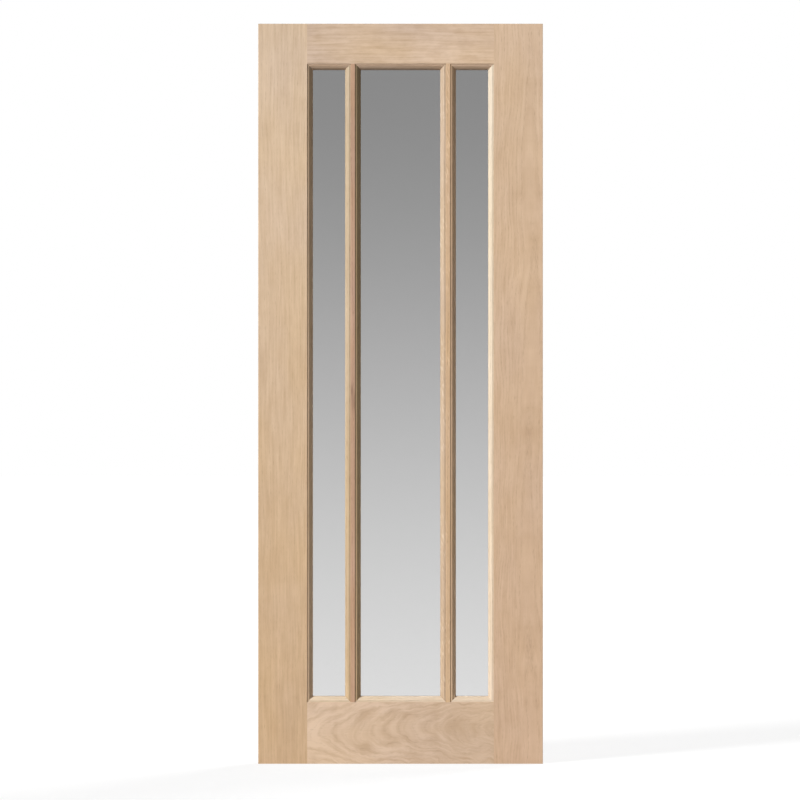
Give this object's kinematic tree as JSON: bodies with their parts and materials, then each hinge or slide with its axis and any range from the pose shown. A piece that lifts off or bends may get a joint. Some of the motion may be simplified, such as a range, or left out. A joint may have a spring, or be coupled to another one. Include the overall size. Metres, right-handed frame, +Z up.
{
  "type": "glazed interior door leaf",
  "caption": "Flat oak-faced interior door leaf with tall narrow clear lights side by side, parted by slim bars and held by mitred ovolo beads, square-edged and not yet hung.",
  "frame": {"origin": "on the hinge edge, at the foot of the leaf and half way through its thickness", "axes": "+X from the hinge edge to the lock edge, +Y from the front face to the back face, +Z up"},
  "size_m": [0.762, 0.035, 1.981],
  "materials": {
    "oak_facing": "pale unfinished oak, sanded, grain along each member",
    "oak": "solid pale oak, sanded",
    "core": "laminated softwood, sawn and planed",
    "glass": "clear toughened float glass"
  },
  "bodies": {
    "root": {"hinge_stile_core": "core", "hinge_edge_lipping": "oak", "hinge_stile_front_facing": "oak_facing", "hinge_stile_back_facing": "oak_facing", "lock_stile_core": "core", "lock_edge_lipping": "oak", "lock_stile_front_facing": "oak_facing", "lock_stile_back_facing": "oak_facing", "top_rail_core": "core", "top_rail_front_facing": "oak_facing", "top_rail_back_facing": "oak_facing", "bottom_rail_core": "core", "bottom_rail_front_facing": "oak_facing", "bottom_rail_back_facing": "oak_facing", "left_bar": "oak", "right_bar": "oak", "left_glass": "glass", "left_front_left_bead": "oak", "left_front_top_bead": "oak", "left_front_right_bead": "oak", "left_front_bottom_bead": "oak", "left_back_left_bead": "oak", "left_back_top_bead": "oak", "left_back_right_bead": "oak", "left_back_bottom_bead": "oak", "centre_glass": "glass", "centre_front_left_bead": "oak", "centre_front_top_bead": "oak", "centre_front_right_bead": "oak", "centre_front_bottom_bead": "oak", "centre_back_left_bead": "oak", "centre_back_top_bead": "oak", "centre_back_right_bead": "oak", "centre_back_bottom_bead": "oak", "right_glass": "glass", "right_front_left_bead": "oak", "right_front_top_bead": "oak", "right_front_right_bead": "oak", "right_front_bottom_bead": "oak", "right_back_left_bead": "oak", "right_back_top_bead": "oak", "right_back_right_bead": "oak", "right_back_bottom_bead": "oak"}
  },
  "joints": []
}
